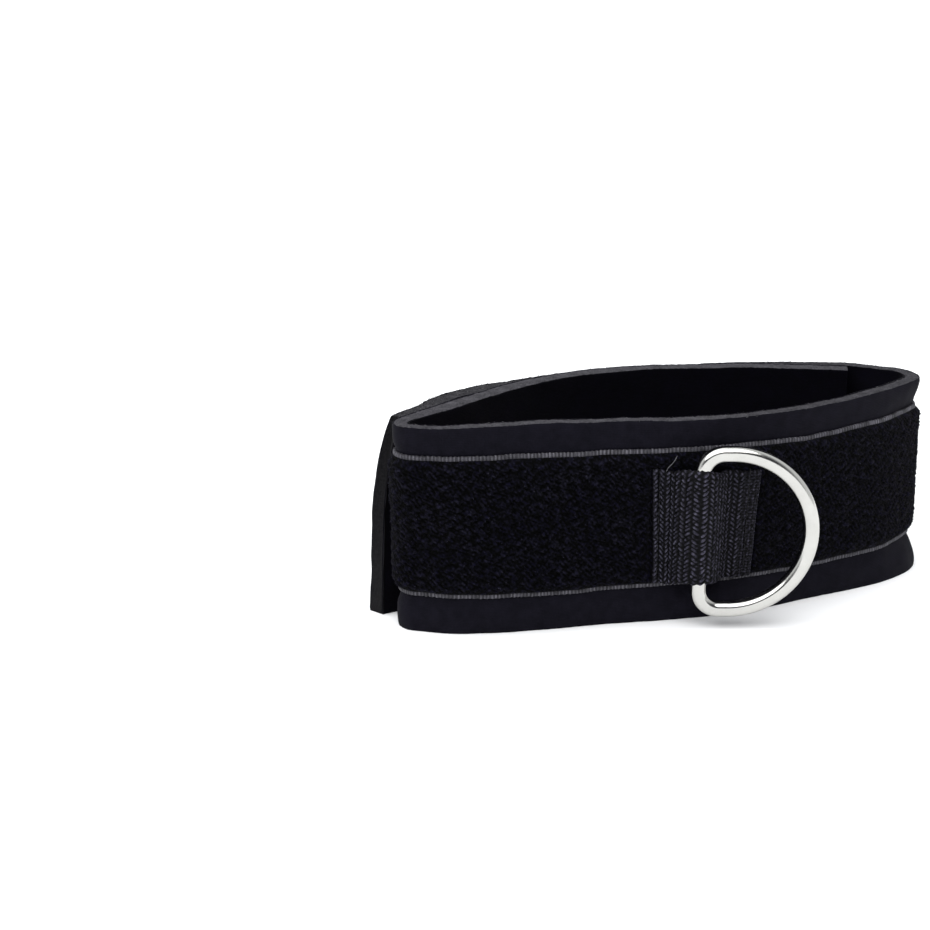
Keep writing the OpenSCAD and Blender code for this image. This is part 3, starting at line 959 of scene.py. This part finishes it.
# ---------------------------------------------------------------- D-ring
def ring_path():
    """The stock's middle line, as x away from the bar and z from its middle, once round."""
    half = (RING_H - STOCK) / 2
    corner = CORNER_IN_R + STOCK / 2
    line = [(0, z) for z in np.linspace(0, half - corner, 10)[:-1]]
    line += [(corner - corner * math.cos(a), half - corner + corner * math.sin(a))
             for a in np.linspace(0, math.pi / 2, 25)]
    line += [(x, half) for x in np.linspace(corner, BOW_OFFSET, 4)[1:-1]]
    line += [(BOW_OFFSET + half * math.sin(a), half * math.cos(a))
             for a in np.linspace(0, math.pi / 2, 60)]
    upper = np.array(line)
    return np.concatenate([upper, upper[::-1][1:-1] * [1, -1]])


def ring_section():
    """Square stock with rounded edges, a little narrower toward its front and back."""
    flat, r = STOCK / 2 - STOCK_EDGE_R, STOCK_EDGE_R
    section = []
    for k, (cx, cy) in enumerate(((flat, flat), (-flat, flat), (-flat, -flat), (flat, -flat))):
        for a in np.radians(np.linspace(0, 90, 8) + 90 * k):
            section.append((cx + r * math.cos(a), cy + r * math.sin(a)))
        turn = np.radians(90 * (k + 1))
        nx, ny = ((-flat, flat), (-flat, -flat), (flat, -flat), (flat, flat))[k]
        mx, my = (cx + nx) / 2, (cy + ny) / 2
        section.append((mx + (r - 0.03) * math.cos(turn), my + (r - 0.03) * math.sin(turn)))
    section = np.array(section)
    section[:, 0] *= 1 - 0.09 * (section[:, 1] / (STOCK / 2))**2
    return section


def ring_piece():
    """The section swept round the D, whose bar is the joint's axis."""
    path, section = ring_path(), ring_section()
    t = np.roll(path, -1, 0) - np.roll(path, 1, 0)
    t /= np.linalg.norm(t, axis=1)[:, None]
    out = np.stack([-t[:, 1], t[:, 0]], -1)
    c, s = math.cos(RING_ANGLE), math.sin(RING_ANGLE)
    x = path[:, None, 0] + out[:, None, 0] * section[None, :, 0]
    z = path[:, None, 1] + out[:, None, 1] * section[None, :, 0]
    y = np.broadcast_to(section[None, :, 1], x.shape)
    verts = np.stack([BAR[0] + x * c - y * s, BAR[1] + x * s + y * c, RING_MID + z], -1)
    n = len(section)
    faces = grid_faces(len(path), n, True)
    last = (len(path) - 1) * n
    faces += [[last + j, last + (j + 1) % n, (j + 1) % n, j] for j in range(n)]
    ring = mesh_object("d_ring_metal", verts, faces, NICKEL)
    stand_in(ring, ["d_ring"], "swing_ring")


# ---------------------------------------------------------------- hook patch and label
HOOK_PITCH_S, HOOK_PITCH_Z = 1.55, 1.5


def hook_pieces():
    low, high = -STRAP_T - HOOK_BASE_T, -STRAP_T - 0.02

    def ribs(s, d, z):
        return d - np.where(d < (low + high) / 2, 0.05 * np.cos(2 * math.pi * s / 0.95), 0), z
    tape = sweep("hook_tape_weave", steps(HOOK_S0, HOOK_S1, 0.32),
                 box_profile(low, high, TAPE_LOW, TAPE_LOW + TAPE_W, 1.2, 0.4, 0.12), RIBS, ribs,
                 lambda s, d, z: np.full(s.shape, 0.14))
    stand_in(tape, ["hook_tape"], "bend")
    parts = []
    t = np.linspace(0, 1, 6)
    for i, s in enumerate(np.arange(HOOK_S0 + 1.6, HOOK_S1 - 1.4, HOOK_PITCH_S)):
        for z in np.arange(TAPE_LOW + SELVAGE_W + 0.6 + 0.75 * (i % 2), TAPE_LOW + TAPE_W
                           - SELVAGE_W - 0.4, HOOK_PITCH_Z):
            way = 1 if rng.random() < 0.5 else -1
            turn = t * 1.35 * math.pi
            reach = 0.28 * (1 - np.cos(turn)) * way
            up = np.where(t < 0.35, t / 0.35 * 0.5, 0.5 + 0.17 * np.sin((t - 0.35) / 0.65 * 3.6))
            parts.append(tube(place(s + reach, low + 0.03 - up, np.full_like(t, z)), 0.085, 4))
    field = mesh_object("hook_bristles", *joined(parts), HOOKS)
    stand_in(field, ["hook_field"], "bend")


LABEL_S0 = HINGE_S + LABEL_START
LABEL_Z0 = TAPE_LOW + (TAPE_W - LABEL_H) / 2


MOTIF_BARS, BAR_PITCH, BAR_H = (15.0, 11.0, 7.0), 3.6, 1.4


def label_pieces():
    """The woven label, its seam and a plain motif of three bars."""
    def lie(s, d, z):
        sag = np.where((s - LABEL_S0 < 1) | (LABEL_S0 + LABEL_L - s < 1), -0.06, 0)
        return d + body_surface(s, z) - seam_dips(s, z) + sag + 0.03 * waves(
            np.stack([s, z], -1), 7, 41), z
    label = sweep("label_cloth", steps(LABEL_S0, LABEL_S0 + LABEL_L, 0.5),
                  box_profile(0.04, LABEL_T, LABEL_Z0, LABEL_Z0 + LABEL_H, 0.5, 0.4, 0.12),
                  LABEL, lie)
    stand_in(label, ["label"], "closure_tail")

    def surface(s, z):
        return LABEL_T + body_surface(s, z) - seam_dips(s, z) + 0.02
    inset = 1.0
    parts = stitch_frame((LABEL_S0 + inset, LABEL_S0 + LABEL_L - inset),
                         (LABEL_Z0 + inset, LABEL_Z0 + LABEL_H - inset), 2.2, surface, 0.09)
    seam = mesh_object("label_seam_thread", *joined(parts), GREY_THREAD)
    stand_in(seam, ["label_stitching"], "closure_tail")
    motif = label_motif()
    motif.parent = label


def label_motif():
    bars = []
    for k, length in enumerate(MOTIF_BARS):
        z = LABEL_Z0 + LABEL_H / 2 + (k - 1) * BAR_PITCH
        middle = LABEL_S0 + LABEL_L / 2
        run = steps(middle - length / 2, middle + length / 2, 0.6)
        ss, zz = np.meshgrid(run, np.linspace(z - BAR_H / 2, z + BAR_H / 2, 5), indexing="ij")
        lift = LABEL_T + 0.09 + 0.02 * np.cos(2 * math.pi * ss / 0.6)
        verts = place(ss, lift + body_surface(ss, zz) - seam_dips(ss, zz), zz)
        faces = [f[::-1] for f in grid_faces(len(run), 5, False)]
        bars.append((verts.reshape(-1, 3), faces))
    return mesh_object("label_motif", *joined(bars), MOTIF)


# ---------------------------------------------------------------- lint on the cut rims
def lint_pieces():
    """Short loose fibres along the upper cut edges, more of them over the tail."""
    for name, (low, high), body, count in (("body_rim_lint", BODY_RUN, "cuff_body", 1800),
                                           ("tail_rim_lint", (HINGE_S + 10, STRAP_L),
                                            "closure_tail", 1500)):
        s = rng.uniform(low + 1, high - 1, count)
        d = -rng.uniform(0.1, STRAP_T - 0.1, count)
        _, z = facing_shift(s, d, np.full(count, STRAP_W))
        roots = place(s, d, z - 0.15)
        reach = rng.uniform(0.2, 0.8, count)
        turn = rng.uniform(0, 2 * math.pi, count)
        back = 0.4 + 0.6 * ease((s - 325) / 20)
        tips = place(s + reach * np.cos(turn), d + 0.4 * reach * np.sin(turn),
                     z + rng.uniform(-0.1, 0.25, count) * back)
        bend = np.array([0, 0, 1.0]) * (rng.uniform(0, 0.45, count) * back)[:, None]
        piece = strands(name, roots, tips, bend, 0.14, LINT, rng.uniform(0.2, 0.9, count))
        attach(piece, body)


# ---------------------------------------------------------------- stage, lights, camera
CAMERA_AT = (-202.8, -399.6, 167.4)
CAMERA_PITCH, CAMERA_TURN = 16.51, -20.0
LENS, SENSOR = 65.8, 36.0
DARK_SIDE = (-0.27, -0.74, 0.62)   # the unlit side of the studio, above the camera


def stage():
    mesh = bpy.data.meshes.new("floor")
    half = 60.0
    mesh.from_pydata([(-half, -half, 0), (half, -half, 0), (half, half, 0), (-half, half, 0)], [],
                     [(0, 1, 2, 3)])
    paper = new_material("floor_paper", (0.93, 0.935, 0.945), 0.9, specular=0.1)[0]
    mesh.materials.append(paper)
    floor = bpy.data.objects.new("floor", mesh)
    bpy.context.scene.collection.objects.link(floor)


def lights_and_camera():
    scene = bpy.context.scene
    world = bpy.data.worlds.new("studio")
    world.use_nodes = True
    tree = world.node_tree
    coords = tree.nodes.new("ShaderNodeTexCoord")
    aim = tree.nodes.new("ShaderNodeVectorMath")
    aim.operation = "DOT_PRODUCT"
    tree.links.new(coords.outputs["Generated"], aim.inputs[0])
    aim.inputs[1].default_value = DARK_SIDE
    ramp = ramp_node(tree, aim.outputs["Value"],
                     [(0.45, (0.96, 0.98, 1.0)), (0.8, (0.05, 0.052, 0.06))])
    tree.links.new(ramp, tree.nodes["Background"].inputs["Color"])
    tree.nodes["Background"].inputs["Strength"].default_value = 0.95
    scene.world = world
    sun = bpy.data.lights.new("soft_overhead", "SUN")
    sun.energy, sun.angle = 4.2, math.radians(80)
    lamp = bpy.data.objects.new("soft_overhead", sun)
    lamp.rotation_euler = (math.radians(18), math.radians(-20), 0)
    scene.collection.objects.link(lamp)
    data = bpy.data.cameras.new("camera")
    data.lens, data.sensor_width = LENS, SENSOR
    data.clip_start = 0.01
    camera = bpy.data.objects.new("camera", data)
    camera.location = [x * MM for x in CAMERA_AT]
    camera.rotation_euler = (math.radians(90 - CAMERA_PITCH), 0, math.radians(CAMERA_TURN))
    scene.collection.objects.link(camera)
    scene.camera = camera
    scene.view_settings.view_transform = "Standard"


lights_and_camera()
stage()
strap_pieces()
tape_piece()
pile_pieces()
tape_seams()
keeper_piece()
keeper_seams()
ring_piece()
hook_pieces()
hook_seam()
label_pieces()
lint_pieces()
